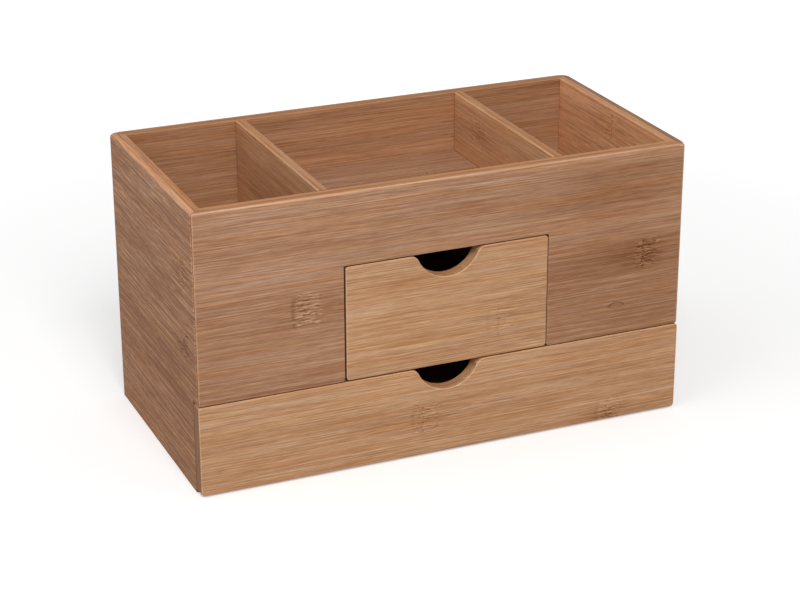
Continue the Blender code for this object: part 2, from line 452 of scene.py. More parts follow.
# %% [markdown]
# The fibres are noise, drawn out to many times its width along the board. Seven patterns of
# different length and width lie on each other: broad soft bands, fibres under a millimetre wide,
# hair-fine ones, slow drifts, short mottling, and two that only change the hue, one towards red and
# one towards gold. A few long dark lines come on top. Before the noise is read, each strip's part
# of it is moved to a place of its own, and the fibres are bent a little, most near a knuckle.

# %% Fibres
BEND = 0.5
KNUCKLE_BEND = 2.4
BEND_SIZE = (50.0, 13.0)
SHUFFLE = (700.0, 90.0, 90.0)
GRAIN = {
    "band": ((150.0, 2.3), 2.0),
    "fibre": ((50.0, 0.62), 2.0),
    "hair": ((14.0, 0.26), 1.0),
    "drift": ((70.0, 9.0), 1.0),
    "mottle": ((5.0, 0.9), 1.0),
    "hue": ((80.0, 1.5), 2.0),
    "gold": ((60.0, 3.2), 1.0),
}
DARK_LINE = (90.0, 0.60)
DARK_LINE_FADE = (0.58, 0.72)


def stretched_noise(place, size, detail=1.0, twist=0.0):
    """Noise drawn out along the board: size gives its length and its width, in mm."""
    length, width = size
    inputs = {"Vector": place / (length, width, width), "Scale": 1.0, "Detail": detail,
              "Distortion": twist}
    return add(place.tree, "ShaderNodeTexNoise", inputs)[0]


def grain_place(given, draws):
    """Where a strip reads the fibre patterns: bent a little, and in a place of its own."""
    bend = given["tail"] * KNUCKLE_BEND + BEND
    bend = (stretched_noise(given["place"], BEND_SIZE) - 0.5) * bend
    return given["place"] + join(Y=bend, Z=bend) + draws * SHUFFLE


def fibre_patterns(grain):
    """All fibre patterns by name, most of them as a push to either side of nothing."""
    patterns = {name: stretched_noise(grain, size, detail) - 0.5
                for name, (size, detail) in GRAIN.items()}
    patterns["line"] = ease(stretched_noise(grain, DARK_LINE), *DARK_LINE_FADE)
    return patterns


print("fibre patterns:", list(GRAIN))

# %% [markdown]
# A knuckle's own fibres are wavy ripples and short dashes, some dark and some pale. The ripples are
# a sine wave across the strip that sways and breaks off. The dashes come from a threshold on noise,
# and the threshold rises towards the knuckle's rim, so that they get fewer and no outline shows.
# Beside the knuckle, long reddish flames run into the strip.

# %% Fibres in and beside a knuckle
RUFFLE = (4.5, 0.80)
DASH_THRESHOLD = 0.73
DASHES_IN_PATCH = 0.18
DASH_SOFTNESS = 0.08
RIPPLE_WIDTH = 1.7
RIPPLE_SWAY = 13.0
RIPPLE_SWAY_SIZE = (5.0, 3.2)
RIPPLE_BREAKS = (4.5, 1.4)
RIPPLE_FADE = (0.40, 0.58)
FLAME = (18.0, 0.85)
FLAME_TWIST = 0.5
FLAME_FADE = (0.48, 0.66)
SCAR_BREAKS = (0.36, 0.56)


def dashes(ruffle, patch):
    """Dark and pale dashes, dense in the middle of a knuckle and gone at its rim."""
    start = DASH_THRESHOLD - patch * DASHES_IN_PATCH
    end = start + DASH_SOFTNESS
    return ease(ruffle, start, end), ease(1.0 - ruffle, start, end)


def ripples(place, patch):
    """Wavy ripples across the strip, as a dark and a pale half."""
    parts = split(place)
    sway = (stretched_noise(place, RIPPLE_SWAY_SIZE) - 0.5) * RIPPLE_SWAY
    wave = calc("SINE", (parts["Y"] + parts["Z"]) * (2 * math.pi / RIPPLE_WIDTH) + sway)
    wave = wave * (ease(stretched_noise(place, RIPPLE_BREAKS), *RIPPLE_FADE) * patch)
    return larger(wave, 0.0), larger(wave * -1.0, 0.0)


def knuckle_patterns(given, grain):
    """All that a knuckle adds, by name."""
    flame = ease(stretched_noise(grain, FLAME, twist=FLAME_TWIST), *FLAME_FADE)
    ruffle = stretched_noise(given["place"], RUFFLE, 2.0)
    patterns = {"flame": flame * given["tail"], "scar": ease(ruffle, *SCAR_BREAKS) * given["scar"]}
    patterns["dark dash"], patterns["pale dash"] = dashes(ruffle, given["patch"])
    patterns["dark ripple"], patterns["pale ripple"] = ripples(given["place"], given["patch"])
    return patterns


print("ripple width in mm:", RIPPLE_WIDTH)

# %% [markdown]
# The narrow faces of the boards show how they were made. On the rim the outer and the inner layer
# lie side by side, each with its own tone, and between them runs a thin reddish line that breaks
# off here and there. The streaks are also calmer than on a wide face.

# %% Narrow faces
CALM_NARROW = 0.5
LAYER_LINE = (0.80, 0.64, 0.58, 1)
LAYER_LINE_WIDTH = 0.9
LAYER_LINE_BREAKS = (45.0, 45.0)
LAYER_LINE_FADE = (0.40, 0.55)


def narrow_face(given, colour, inner):
    """A colour as it shows on a narrow face: one tint for each layer, and the line between them."""
    tint = blend(inner, given["narrow_tint"], given["inner_narrow_tint"])
    colour = blend(given["narrow_face"], colour, tint, "MULTIPLY")
    line = ease(abs(split(given["place"])["Z"] - LAYER_THICKNESS), LAYER_LINE_WIDTH, 0.0)
    there = ease(stretched_noise(given["place"], LAYER_LINE_BREAKS), *LAYER_LINE_FADE)
    return blend(line * there * given["narrow_face"], colour, LAYER_LINE, "MULTIPLY")


print("line between the layers, width in mm:", LAYER_LINE_WIDTH)

# %% [markdown]
# Now all patterns become a colour. Each table says what a pattern does, and how strongly: how much
# lighter it makes the wood, how much redder, how dark a mark it leaves, and so on. The lightness
# picks a colour between the board's deep and its pale tone.
#
# Dark marks, such as scars and dots, darken the colour that is there by a share, so they show on
# pale and on dark strips alike. Shaded areas of a board work in the same way, and also get redder.
# A narrow rounded edge is paler and redder than the faces beside it, partly where sandpaper went
# through the stain and partly as a painted highlight. The same tables give the shine and the very
# shallow relief of the fibres.

# %% What each pattern does
STREAKS = {"band": 0.50, "fibre": 1.40, "hair": 1.2, "drift": 0.22, "mottle": 0.40, "line": -0.24}
MIDDLE_TONE = 0.53
# The edge entries lighten and redden the rounded edges: partly worn stain, partly a painted highlight.
LIGHTER = {"glue": -0.22, "tail": -0.08, "edge": 0.34, "pale dash": 0.30, "pale ripple": 0.34}
REDDER = {"hue": 3.0, "dark dash": 0.2, "flame": 0.5, "tail": 0.15, "edge": 0.35}
MARKED = {"mark": 0.8, "flame": 0.55, "scar": 0.46, "dots": 1.0, "dark dash": 0.46,
          "dark ripple": 0.42}
ROUGHNESS = 0.56
ROUGHER = {"fibre": 0.20, "end": 0.14, "marks": 0.10}
MIDDLE_HEIGHT = 0.5
HIGHER = {"fibre": 0.7, "hair": 0.5, "line": -0.2, "glue": -0.5, "marks": -0.8, "pale dash": 0.3}
# How much a rounded edge is lightened: partly worn stain, partly a painted highlight.
EDGE_WEAR_AND_HIGHLIGHT = 0.18
REDDISH = (1.0, 0.87, 0.76, 1)
DARK_MARK = (0.42, 0.34, 0.30, 1)
SAWN_END = (0.215, 0.114, 0.070, 1)
SAWN_END_SHARE = 0.8
SHADE_TINT = (0.7, 1.0, 1.3)
GOLD_TINT = (0.0, 0.14, 0.50)


def weighed(patterns, weights, start=0.0):
    """A value with named patterns added to it, each times its own weight."""
    for name, weight in weights.items():
        start = calc("MULTIPLY_ADD", patterns[name], weight, start)
    return start


def bare_wood(given, patterns, tone, inner):
    """The colour of the wood before any mark or shade."""
    calm = 1.0 - given["narrow_face"] * CALM_NARROW
    streaks = weighed(patterns, STREAKS) * (calm * given["streaks"])
    tone = (tone - 0.5) * given["strip_contrast"]
    lightness = weighed(patterns, LIGHTER, streaks + tone + MIDDLE_TONE)
    colour = blend(lightness, given["deep"], given["pale"])
    colour = blend(weighed(patterns, REDDER, given["redness"]), colour, REDDISH, "MULTIPLY")
    colour = colour * (patterns["gold"] * GOLD_TINT + 1.0)
    colour = narrow_face(given, colour, inner)
    return blend(inner - given["narrow_face"], colour, given["inner_tint"], "MULTIPLY")


print("what makes a mark:", list(MARKED))

# %% [markdown]
# Two finishes came out of the workshop. The casing is a browner bamboo, and both drawer fronts are
# more golden. The usual board of the casing gives the group's inputs their usual values.

# %% The bamboo
CASING_TONES = {"pale": (0.560, 0.354, 0.227, 1), "deep": (0.265, 0.133, 0.0735, 1)}
DRAWER_TONES = {"pale": (0.660, 0.434, 0.260, 1), "deep": (0.346, 0.184, 0.095, 1)}
SHEET_TONES = {"pale": (0.560, 0.341, 0.207, 1), "deep": (0.330, 0.173, 0.091, 1)}
INNER_TINT = (1.06, 0.965, 0.86, 1)
NARROW_TINT = (0.96, 0.85, 0.71, 1)
FROM_SURFACE = ("tail", "edge", "end", "mark", "dots")
BAMBOO_INPUTS = {
    **dict.fromkeys((*MASKS, "seed", "mark", "shade", "end", "edge", "narrow_face"), 0.0),
    **CASING_TONES, "place": (0, 0, 0), "first_strip": 0.0, "streaks": 0.82,
    "strip_contrast": 0.24, "redness": 0.42, "inner_tint": INNER_TINT,
    "narrow_tint": NARROW_TINT, "inner_narrow_tint": NARROW_TINT}


def bamboo_group():
    """A group that gives bamboo's colour, roughness and relief at a place in a board."""
    kinds = {"colour": "Color", "roughness": "Float", "height": "Float"}
    tree, given = new_group("bamboo", BAMBOO_INPUTS, kinds)
    tone, draws, glue, inner = strip_and_layer(given)
    grain = grain_place(given, draws)
    patterns = fibre_patterns(grain) | knuckle_patterns(given, grain) | {"glue": glue}
    patterns |= {label: given[label] for label in FROM_SURFACE}
    patterns["marks"] = weighed(patterns, MARKED)
    colour = bare_wood(given, patterns, tone, inner)
    colour = blend(patterns["marks"], colour, DARK_MARK, "MULTIPLY")
    # Rounded edges get lighter here too: partly worn stain, partly a painted highlight.
    shade = given["edge"] * EDGE_WEAR_AND_HIGHLIGHT + given["shade"]
    colour = colour * (shade * SHADE_TINT + 1.0)
    add(tree, "NodeGroupOutput", {
        "colour": blend(given["end"] * SAWN_END_SHARE, colour, SAWN_END),
        "roughness": weighed(patterns, ROUGHER, ROUGHNESS),
        "height": weighed(patterns, HIGHER, MIDDLE_HEIGHT)})
    return tree


BAMBOO = bamboo_group()
print("bamboo nodes:", len(BAMBOO.nodes))

# %% [markdown]
# ## A board's own material
#
# Each board gets its own material from the two groups. It says which way the fibres run, where its
# outer face is, where its strips start and where its knuckles are, and has its own seed. A knuckle
# is written as its place along, across and into the board in mm, its strength, and how much of its
# marking is scar rather than dots. A shaded area is written as its centre and its reach, along and
# across, and how much lighter or darker it is.

# %% Knuckles, shaded areas and knots
DOTS_WITHOUT_SCAR = 1.2
SHADE_DEPTH = 9.0
SHADE_FADE = (1.0, 0.1)
KNOT_DEPTH = 4.0
KNOT_LINE = 0.45
KNOT_OPENING = (-1.0, 0.3, 0.30, 1.0)


def knuckle_marks(place, knuckles):
    """The masks of all knuckles of a board."""
    totals = dict.fromkeys(MASKS, 0.0)
    for *centre, strength, scar in knuckles:
        inputs = {"place": place, "centre": centre}
        masks = add(place.tree, "ShaderNodeGroup", inputs, node_tree=KNUCKLE)
        shares = {"patch": 1.0, "scar": scar, "dots": DOTS_WITHOUT_SCAR - scar, "tail": 1.0}
        for label, share in shares.items():
            totals[label] = larger(masks[label] * (strength * share), totals[label])
    return totals


def shaded_areas(place, shades):
    """Soft lighter or darker areas of a board."""
    total = 0.0
    for along, across, reach_along, reach_across, amount in shades:
        share = (place - (along, across, 0)) / (reach_along, reach_across, SHADE_DEPTH)
        total = ease(calc("LENGTH", share), *SHADE_FADE) * amount + total
    return total


def oval_knots(place, knots):
    """Small knots, pointed at both ends: centre and reach in mm. Each is a ring, fainter below."""
    total = 0.0
    for along, across, reach_along, reach_across in knots:
        share = split((place - (along, across, 0)) / (reach_along, reach_across, KNOT_DEPTH))
        x, y, z = (share[axis] for axis in "XYZ")
        ring = ease(abs(abs(y) + x * x + z * z - 1.0), KNOT_LINE, 0.0) * ease(y, *KNOT_OPENING)
        total = larger(ring, total)
    return total


print("knuckle reach in mm:", KNUCKLE_REACH)

# %% [markdown]
# Where a saw cut across the fibres, their ends show. They soak up more stain, so an end is darker
# and duller. The cut shows in the direction that the surface faces, and so do the narrow faces and
# the rounded edges. The drawer fronts' upper edges get painted shade, which makes the seams above
# both drawers look deep. A thin satin lacquer goes over everything.

# %% The material of a board
LACQUER_SHEEN = 0.04
RELIEF_DEPTH = 0.00010
RELIEF_STRENGTH = 0.35
SQUARE_FACING = (0.80, 0.97)
EDGE_STARTS = (0.06, 0.32)
EDGE_ENDS = (0.90, 0.78)
# Painted shade on the drawer fronts' upper edges, for the seams above them.
SEAM_SHADE = 0.95
SEAM_SHADE_DEPTH = (0.3, 0.8)
SEAM_SHADE_EDGE = (-0.3, -0.1)


def painted_seam_shade(place, top):
    """A dark upper edge behind the rounded front edge: painted shade for the seam above a drawer."""
    parts = split(place)
    return ease(parts["Y"] - top, *SEAM_SHADE_EDGE) * ease(parts["Z"], *SEAM_SHADE_DEPTH, 0.0, SEAM_SHADE)


# Rounded edges are lightened by a share: partly worn stain, partly a painted highlight.
def bamboo(name, along, across, outer_face, tones, seed, knuckles=(), shades=(), knots=(),
           edge_wear_and_highlight=0.4, seam_shade_top=None, **own):
    """The material of one bamboo board. Own gives what differs from the group's usual values."""
    made = bpy.data.materials.new(name)
    tree = cleared(made)
    place = board_place(tree, along, across, outer_face)
    facing = split(abs(add(tree, "ShaderNodeTexCoord")["Normal"]))
    outwards = facing[third_axis(along, across)]
    # The rounded edges, which the group lightens: partly worn stain, partly a painted highlight.
    edge = calc("MINIMUM", ease(outwards, *EDGE_STARTS), ease(outwards, *EDGE_ENDS))
    mark = oval_knots(place, knots)
    # A drawer front's upper edge gets painted shade, for the seam above it.
    if seam_shade_top is not None:
        mark = larger(painted_seam_shade(place, seam_shade_top), mark)
    wood = add(tree, "ShaderNodeGroup", {
        **knuckle_marks(place, knuckles), **tones, **own, "place": place, "seed": float(seed),
        "mark": mark, "shade": shaded_areas(place, shades), "edge": edge * edge_wear_and_highlight,
        "end": ease(facing[along], *SQUARE_FACING),
        "narrow_face": ease(facing[across], *SQUARE_FACING)}, node_tree=BAMBOO)
    relief = add(tree, "ShaderNodeBump", {
        "Strength": RELIEF_STRENGTH, "Distance": RELIEF_DEPTH, "Height": wood["height"]})
    lacquer = add(tree, "ShaderNodeBsdfPrincipled", {
        "Base Color": wood["colour"], "Roughness": wood["roughness"],
        "Specular IOR Level": LACQUER_SHEEN, "Normal": relief[0]})
    add(tree, "ShaderNodeOutputMaterial", {"Surface": lacquer[0]})
    return made


print("relief depth in mm:", RELIEF_DEPTH * MM_PER_M)

# %% [markdown]
# ## Finishing a piece
#
# Every board is made in the place where the measured model has it, and then takes over from that
# board. It goes through the same last steps: modifiers become plain mesh, and the shading is told
# which edges are sharp. Sanding leaves narrow round edges beside wide flat faces. Plain smooth
# shading would bend the light over the whole face, so each corner's shading direction is weighted
# by how large the faces round it are. Flat faces then look flat and only the edge looks round.

# %% Bake, shade and fit a piece
SHARP_ANGLE = math.radians(42)
FACE_WEIGHT = 100
BODY_OF = {node: body for body, nodes in frame["record"]["behaviour"]["bodies"].items()
           for node in nodes}


def baked(piece):
    """Turn a piece and its modifiers into plain mesh, in place."""
    graph = bpy.context.evaluated_depsgraph_get()
    mesh = bpy.data.meshes.new_from_object(
        piece.evaluated_get(graph), preserve_all_data_layers=True, depsgraph=graph)
    piece.modifiers.clear()
    piece.data = mesh
    return piece


def shaded(piece):
    """Shade round edges smoothly and keep flat faces flat."""
    for face in piece.data.polygons:
        face.use_smooth = True
    piece.data.set_sharp_from_angle(angle=SHARP_ANGLE)
    weigh = piece.modifiers.new("weigh_faces", "WEIGHTED_NORMAL")
    weigh.keep_sharp = True
    weigh.weight = FACE_WEIGHT
    return baked(piece)


def fit(piece, node):
    """Let a finished piece take over from the measured board, on the same moving body."""
    shaded(baked(piece))
    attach(piece, BODY_OF[node])
    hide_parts(node)
    print(f"{piece.name}: {len(piece.data.polygons)} faces, rides on {BODY_OF[node]}")


print("moving bodies:", sorted(set(BODY_OF.values())))

# %% [markdown]
# ## Milled boards
#
# Dividers, shelf, base, drawer sides, backs and bottoms are all the same thing: a straight board
# with planed faces and softly rounded long edges. A cube with a bevel would do. A tree of Geometry
# Nodes says it better: a rounded rectangle is the board's section, and it is pushed along a line,
# just as a board goes through a moulding machine. The tree has the board's lowest and highest
# corners as inputs, so one tree makes all fifteen plain boards straight from their measured boxes.

# %% A tree that mills a board
BOARD_INPUTS = {"Low corner": "Vector", "High corner": "Vector", "Fibres along": "Vector",
                "Edge radius": "Float", "Edge steps": "Int", "Finish": "Material"}


def board_tree():
    """A tree that pushes a rounded section along a board, between two corners."""
    tree = bpy.data.node_groups.new("milled_board", "GeometryNodeTree")
    for label, kind in BOARD_INPUTS.items():
        tree.interface.new_socket(label, in_out="INPUT", socket_type="NodeSocket" + kind)
    tree.interface.new_socket("Geometry", in_out="OUTPUT", socket_type="NodeSocketGeometry")
    given = add(tree, "NodeGroupInput")
    size = given["High corner"] - given["Low corner"]
    middle = (given["High corner"] + given["Low corner"]) * 0.5
    reach = size * given["Fibres along"] * 0.5
    width = calc("DOT_PRODUCT", size, (1, 1, 0) - given["Fibres along"])
    height = calc("DOT_PRODUCT", size, (0, 0, 1))

    line = add(tree, "GeometryNodeCurvePrimitiveLine", {"Start": middle - reach, "End": middle + reach})
    upright = add(tree, "GeometryNodeSetCurveNormal", {"Curve": line[0]}, mode="Z_UP")
    section = add(tree, "GeometryNodeCurvePrimitiveQuadrilateral", {"Width": width, "Height": height})
    corners = {"Curve": section[0], "Radius": given["Edge radius"], "Count": given["Edge steps"]}
    rounded = add(tree, "GeometryNodeFilletCurve", corners, mode="POLY")
    swept = add(tree, "GeometryNodeCurveToMesh", {
        "Curve": upright[0], "Profile Curve": rounded[0], "Fill Caps": True})
    real = add(tree, "GeometryNodeRealizeInstances", {0: swept[0]})
    painted = add(tree, "GeometryNodeSetMaterial", {"Geometry": real[0], "Material": given["Finish"]})
    add(tree, "NodeGroupOutput", {"Geometry": painted[0]})
    return tree


MILLED_BOARD = board_tree()
BOARD_SOCKETS = {item.name: item.identifier for item in MILLED_BOARD.interface.items_tree
                 if item.in_out == "INPUT"}
print("inputs:", sorted(BOARD_SOCKETS))

# %% Mill one board
AXES = {"X": (1, 0, 0), "Y": (0, 1, 0), "Z": (0, 0, 1)}
LONG_EDGE = 0.0007
LONG_EDGE_STEPS = 4
LONG_EDGE_SHARE = 0.3
SAWN_EDGE = 0.00035
SAWN_EDGE_STEPS = 2
SAWN_EDGE_SHARE = 0.5


def milled_board(node, along, finish):
    """A plain board in the place of a measured one, with its fibres along one direction."""
    low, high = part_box(node)
    radius = min(LONG_EDGE, LONG_EDGE_SHARE * min(high - low))
    values = {"Low corner": low, "High corner": high, "Fibres along": AXES[along],
              "Edge radius": radius, "Edge steps": LONG_EDGE_STEPS, "Finish": finish}
    piece = place_in_scene(node + "_board", bpy.data.meshes.new(node))
    mill = piece.modifiers.new("mill", "NODES")
    mill.node_group = MILLED_BOARD
    for label, value in values.items():
        mill[BOARD_SOCKETS[label]] = value
    baked(piece)
    soften = piece.modifiers.new("soften_sawn_ends", "BEVEL")
    soften.limit_method = "ANGLE"
    soften.angle_limit = SHARP_ANGLE
    soften.width = min(SAWN_EDGE, SAWN_EDGE_SHARE * radius)
    soften.segments = SAWN_EDGE_STEPS
    return baked(piece)


print("rounded long edge in mm:", 1000 * LONG_EDGE)

# %% [markdown]
# ## Boards inside the casing
#
# Two dividers part the compartments. Their fibres run from front to back, and their faces are a
# little paler than the other inner boards, as painted light inside the compartments. The middle
# compartment has a floor over the small drawer. The shelf is the floor of the two deep compartments,
# and the base closes the casing underneath. Two narrow guides lead the small drawer.

# %% Inner boards
# Painted light: the dividers and guides get paler faces, for light inside the compartments.
DIVIDER_TINT = (1.32, 1.23, 1.08, 1)
INNER_NARROW_FACE = (1.04, 0.93, 0.77, 1)
WHOLE_BOARD = (0, 0, 900, 900)
INNER_BOARDS = (
    ("left_divider", "Y", "Z", "bamboo_panel", 11, 0.00, ((22, 121, 0, 0.8, 0.5),)),
    ("right_divider", "Y", "Z", "bamboo_panel", 12, 0.00,
     ((-31, 84, 0, 0.9, 0.5), (28, 127, 5, 0.7, 0.5))),
    ("shelf", "X", "Y", "bamboo_inside", 13, -0.06,
     ((-88, 12, 0, 0.9, 0.5), (96, -28, 0, 0.8, 0.5))),
    ("base_panel", "X", "Y", "bamboo_inside", 14, -0.02,
     ((-40, -20, 0, 0.8, 0.5), (61, 35, 0, 0.8, 0.5))),
    ("centre_compartment_floor", "X", "Y", "bamboo_inside", 15, -0.03, ((31, 22, 0, 0.8, 0.5),)),
    ("upper_drawer_left_guide", "Y", "Z", "bamboo_inside", 16, 0.00, ()),
    ("upper_drawer_right_guide", "Y", "Z", "bamboo_inside", 17, 0.00, ()),
)


def inner_board(node, along, across, slot, seed, shade, knuckles):
    """One milled board of the casing, with its finish."""
    outer_face = getattr(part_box(node)[1], third_axis(along, across).lower())
    finish = bamboo(node + "_bamboo", along, across, outer_face, CASING_TONES, seed, knuckles,
                    shades=((*WHOLE_BOARD, shade),), first_strip=3.0 * seed,
                    inner_tint=INNER_TINT if along == "X" else DIVIDER_TINT,
                    narrow_tint=INNER_NARROW_FACE, inner_narrow_tint=INNER_NARROW_FACE)
    fit(milled_board(node, along, finish), node)


for row in INNER_BOARDS:
    inner_board(*row)

# %% [markdown]
# ## Mitred walls
#
# The four outer walls meet at 45 degrees, so no sawn end shows. After gluing, the whole box was
# sanded: its upright corners are round, and the roundness of the rim runs round the corners. A
# bevel has to be cut off at the mitre, and the rim would then end in a step. So a wall is built like
# a plank of many slices: each slice is the wall's section, its points moved to where sanding and
# the mitre put them, and the slices are joined from one mitre to the other.

# %% Join slices into a solid
def skin(name, rings, finish=None):
    """A closed solid: rings of points joined by faces, with the first and the last one filled."""
    shape = bmesh.new()
    rows = [[shape.verts.new(point) for point in ring] for ring in rings]
    for row, following in zip(rows, rows[1:]):
        for index in range(len(row)):
            before = index - 1
            shape.faces.new((row[before], row[index], following[index], following[before]))
    shape.faces.new(rows[0])
    shape.faces.new(rows[-1])
    bmesh.ops.recalc_face_normals(shape, faces=shape.faces)
    mesh = bpy.data.meshes.new(name)
    shape.to_mesh(mesh)
    shape.free()
    if finish is not None:
        mesh.materials.append(finish)
    return place_in_scene(name, mesh)


def arc(centre, radius, start, end, steps):
    """Points on an arc, its angles in quarters of a turn."""
    angles = [(start + (end - start) * step / steps) * math.pi / 2 for step in range(steps + 1)]
    return [(centre[0] + radius * math.cos(angle), centre[1] + radius * math.sin(angle))
            for angle in angles]


print("slices ready")

# %% [markdown]
# Hand sanding is never even. The front corner at the left stayed crisp, the one at the right is
# rounder, and the two at the back are the roundest. At three of them the sandpaper also took a
# little off the rim, most at the very corner. So each corner is written as its radius and as how
# much lower its rim is. The wear fades out along the wall, and from the outer face inwards.

# %% A wall's section and its ends
WALL_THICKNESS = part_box("front_panel")[1].y - model_low.y
RIM_RADIUS = 0.0013
INNER_RIM_RADIUS = 0.0007
ROUND_STEPS = 6
CORNER_STEPS = 6
WEAR_REACH = 0.0045
WEAR_STEPS = 5
WEAR_DEPTH = 0.0035
MITRE_SEAM = 0.00024
SEAM_INSIDE = 0.35


def wall_section(bottom, top, foot):
    """The section of a wall, as points of depth behind its outer face and of height."""
    section = arc((foot, bottom + foot), foot, -1, -2, ROUND_STEPS)
    section += arc((RIM_RADIUS, top - RIM_RADIUS), RIM_RADIUS, 2, 1, ROUND_STEPS)
    section.append((WEAR_DEPTH, top))
    inner_rim = (WALL_THICKNESS - INNER_RIM_RADIUS, top - INNER_RIM_RADIUS)
    section += arc(inner_rim, INNER_RIM_RADIUS, 1, 0, ROUND_STEPS)
    section.append((WALL_THICKNESS, bottom))
    return section


def wall_end(depth, radius):
    """Plan of a line's end near the mitre, as points of distance from the end and of depth."""
    points = []
    for step in range(CORNER_STEPS + 1):
        share = step / CORNER_STEPS
        across, inwards = depth + share * radius / 2, depth
        if depth < radius:
            angle = (1 - share) * math.pi / 4
            across = radius - (radius - depth) * math.sin(angle)
            inwards = radius - (radius - depth) * math.cos(angle)
        open_share = max(SEAM_INSIDE, 1 - depth / radius)
        across += (1 - share) * MITRE_SEAM * open_share
        points.append((across, inwards))
    for step in range(1, WEAR_STEPS + 1):
        points.append((across + WEAR_REACH * step / WEAR_STEPS, depth))
    return points


def wall_row(length, depth, corners):
    """Plan of one line along a wall at a depth behind its outer face, from mitre to mitre."""
    left = [(x - length / 2, y) for x, y in wall_end(depth, corners[0][0])]
    right = [(length / 2 - x, y) for x, y in wall_end(depth, corners[1][0])]
    return left + right[::-1]


print("wall thickness in mm:", round(1000 * WALL_THICKNESS, 2))

# %% A mitred wall
LEFT_FRONT_CORNER = (0.0014, 0.0)
RIGHT_FRONT_CORNER = (0.0024, 0.0012)
BACK_CORNER = (0.0028, 0.0006)
FOOT_RADIUS = 0.0004


def rim_wear(length, row, depth, corners):
    """How much lower sanding left one line of the rim at each point: most at the outer corner."""
    drops = []
    for x, inwards in row:
        wear = corners[x > 0][1]
        along = min(1, (length / 2 - abs(x) - inwards) / WEAR_REACH)
        fading = 1 - along * along * (3 - 2 * along)
        drops.append(wear * fading * max(0, 1 - depth / WEAR_DEPTH) ** 2)
    return drops


def mitred_wall(name, length, bottom, turn, outwards, finish, corners, foot=FOOT_RADIUS):
    """An outer wall: turn is its direction in quarters, outwards the way from the middle to it."""
    section = wall_section(bottom, model_high.z, foot)
    rows = [wall_row(length, depth, corners) for depth, height in section]
    heights = []
    for row, (depth, height) in zip(rows, section):
        at_rim = height > (bottom + model_high.z) / 2
        heights.append([height - at_rim * drop for drop in rim_wear(length, row, depth, corners)])
    rings = [[(*row[place], height[place]) for row, height in zip(rows, heights)]
             for place in range(len(rows[0]))]
    piece = skin(name, rings, finish)
    turned = Matrix.Rotation(turn * math.pi / 2, 4, "Z")
    piece.data.transform(Matrix.Translation(outwards) @ turned)
    return piece


corner_radii = [corner[0] for corner in (LEFT_FRONT_CORNER, RIGHT_FRONT_CORNER, BACK_CORNER)]
print("corner radii in mm:", [1000 * radius for radius in corner_radii])

# %% [markdown]
# ## Side and back walls
#
# The side walls stop short at the front of the lower drawer, whose front covers them. That part is
# cut away with a block, as a saw would do it. Just above the drawer front, the wall's lower outer
# corner is rounded with a second cutter. The back wall is plain.

# %% Tools that cut wood away
CUT_OVERRUN = 0.004


def inset(outline, amount):
    """The same outline, drawn anticlockwise, with each side moved inwards."""
    moved = []
    for index, here in enumerate(outline):
        before = (here - outline[index - 1]).normalized()
        after = (outline[(index + 1) % len(outline)] - here).normalized()
        turned = Vector((-before.y - after.y, before.x + after.x))
        moved.append(here + turned * amount / (1 + before.dot(after)))
    return moved


def stacked(name, outline, layers, finish=None):
    """A solid from an outline in the front view: each layer is an inset and a place along Y."""
    outline = [Vector(point) for point in outline]
    rings = [[(x, along, z) for x, z in inset(outline, amount)] for amount, along in layers]
    return skin(name, rings, finish)


def block(name, low, high):
    """A plain block, to cut with."""
    ring = [(low[0], low[1]), (high[0], low[1]), (high[0], high[1]), (low[0], high[1])]
    return skin(name, [[(x, y, z) for x, y in ring] for z in (low[2], high[2])])


def cut_away(piece, cutter):
    """Take one solid out of another, and throw the cutter away."""
    cut = piece.modifiers.new("cut", "BOOLEAN")
    cut.operation = "DIFFERENCE"
    cut.solver = "EXACT"
    cut.object = cutter
    baked(piece)
    bpy.data.objects.remove(cutter, do_unlink=True)


print("cutters reach past the wood, in mm:", 1000 * CUT_OVERRUN)

# %% Cut a wall's seat and its lower corner
SEAT_GAP = 0.00005
FOOT_CORNER = 0.0015
FOOT_CORNER_STEPS = 5

wide = 2 * model_high.x
deep = 2 * model_high.y
panel_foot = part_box("front_panel")[0].z
seat_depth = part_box("lower_drawer_front")[1].y + SEAT_GAP


def foot_corner(side):
    """A cutter that rounds a wall's lower outer corner, above the end of the lower drawer's front."""
    edge = model_high.x
    past_edge, below = -edge - CUT_OVERRUN, panel_foot - CUT_OVERRUN
    centre = (-edge + FOOT_CORNER, panel_foot + FOOT_CORNER)
    points = arc(centre, FOOT_CORNER, 2, 3, FOOT_CORNER_STEPS)
    points += [(points[-1][0], below), (past_edge, below), (past_edge, points[0][1])]
    points = points[::-1] if side < 0 else [(-x, z) for x, z in points]
    return stacked("foot_corner", points, [(0.0, model_low.y - CUT_OVERRUN), (0.0, seat_depth)])


def seat():
    """A cutter for the place that the lower drawer's front takes."""
    front = (-wide, model_low.y - CUT_OVERRUN, -CUT_OVERRUN)
    return block("seat", front, (wide, seat_depth, panel_foot))


print("lower drawer's seat, depth in mm:", round(1000 * (seat_depth - model_low.y), 2))

# %% [markdown]
# The side walls' fibres run from front to back. The left one has a lively grain, and the outer
# layer of its rim is a pale golden strip, partly a paler layer and partly a painted highlight. The
# right one is calmer, its rim has the dark strip outside, and its inner face is pale, partly a paler
# layer and partly painted light inside the compartment.

